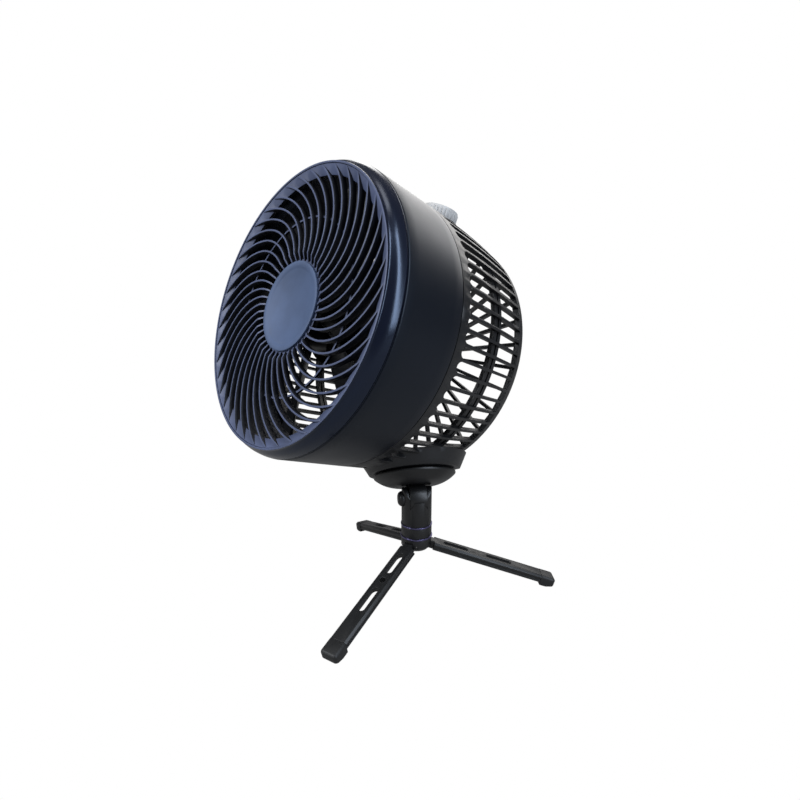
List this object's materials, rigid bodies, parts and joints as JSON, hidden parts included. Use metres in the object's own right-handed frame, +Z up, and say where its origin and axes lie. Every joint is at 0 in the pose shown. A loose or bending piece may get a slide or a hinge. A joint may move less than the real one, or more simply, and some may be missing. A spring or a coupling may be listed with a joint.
{
  "type": "electric fan",
  "caption": "Portable battery fan: a drum head with swirl-ribbed front grille and slotted rear cage on a tilting, swivelling stem and a folding mini tripod.",
  "frame": {"origin": "middle of the footprint's bounding box, on the surface that the feet stand on", "axes": "+Z up; the fan blows towards -Y, nose up"},
  "size_m": [0.2264, 0.1866, 0.2979],
  "materials": {
    "body_black": "satin",
    "grille_slate": "satin",
    "hub_slate": "satin",
    "impeller_black": "satin",
    "motor_steel": "brushed",
    "shaft_steel": "polished",
    "screw_steel": "polished",
    "inner_plastic": "matte",
    "cell_sleeve": "sleeved",
    "board_green": "satin",
    "socket_steel": "plated",
    "knob_silver": "satin",
    "stand_black": "anodised",
    "washer_nylon": "matte",
    "ring_bright": "polished",
    "leg_black": "anodised",
    "foot_rubber": "matte"
  },
  "bodies": {
    "stand": {"post": "stand_black", "tilt_pin": "shaft_steel", "tilt_cap": "stand_black", "post_ring": "ring_bright", "hub_collar": "stand_black", "hub_ring": "ring_bright", "tripod_hub": "stand_black", "leg_pins": "shaft_steel", "centre_bolt": "shaft_steel"},
    "stem": {"neck": "stand_black", "swivel_base": "stand_black", "swivel_washer": "washer_nylon", "swivel_bolt": "shaft_steel"},
    "head": {"front_bezel": "body_black", "front_grille": "grille_slate", "hub_cap": "hub_slate", "barrel": "body_black", "rear_housing": "body_black", "rear_cap": "body_black", "cap_screws": "screw_steel", "motor_can": "motor_steel", "motor_screws": "screw_steel", "battery_holder": "inner_plastic", "battery_cells": "cell_sleeve", "control_board": "board_green", "charge_socket": "socket_steel", "speed_switch": "inner_plastic"},
    "rotor": {"impeller": "impeller_black", "motor_shaft": "shaft_steel", "shaft_nut": "shaft_steel"},
    "knob": {"speed_knob": "knob_silver", "knob_shaft": "shaft_steel"},
    "leg_1": {"leg_1": "leg_black", "leg_screw_1": "screw_steel", "foot_cap_1": "foot_rubber"},
    "leg_2": {"leg_2": "leg_black", "leg_screw_2": "screw_steel", "foot_cap_2": "foot_rubber"},
    "leg_3": {"leg_3": "leg_black", "leg_screw_3": "screw_steel", "foot_cap_3": "foot_rubber"}
  },
  "joints": [
    {"name": "tilt", "type": "hinge", "parent": "stand", "child": "stem", "pos_m": [0.0361, 0.0096, 0.0663], "axis": [-0.565, -0.8251, 0], "range_deg": [-44.5, 5.5]},
    {"name": "swivel", "type": "hinge", "parent": "stem", "child": "head", "pos_m": [0.0361, 0.0096, 0.0663], "axis": [-0.4063, 0.2782, 0.8704], "range_deg": [-8.2, 111.8]},
    {"name": "fan_spin", "type": "hinge", "parent": "head", "child": "rotor", "pos_m": [-0.01305, -0.06437, 0.20602], "axis": [0.0001, -0.9525, 0.3045], "continuous": true},
    {"name": "speed_turn", "type": "hinge", "parent": "head", "child": "knob", "pos_m": [0.00288, 0.06525, 0.26993], "axis": [0.1569, 0.3008, 0.9407], "range_deg": [0, 270]},
    {"name": "leg_fold_1", "type": "hinge", "parent": "stand", "child": "leg_1", "pos_m": [0.03821, 0.00137, 0.0317], "axis": [0.9686, 0.2487, 0], "range_deg": [0, 66]},
    {"name": "leg_fold_2", "type": "hinge", "parent": "stand", "child": "leg_2", "pos_m": [0.04217, 0.01555, 0.0317], "axis": [-0.6997, 0.7145, 0], "range_deg": [0, 66]},
    {"name": "leg_fold_3", "type": "hinge", "parent": "stand", "child": "leg_3", "pos_m": [0.02791, 0.01189, 0.0317], "axis": [-0.2689, -0.9632, 0], "range_deg": [0, 66]}
  ]
}
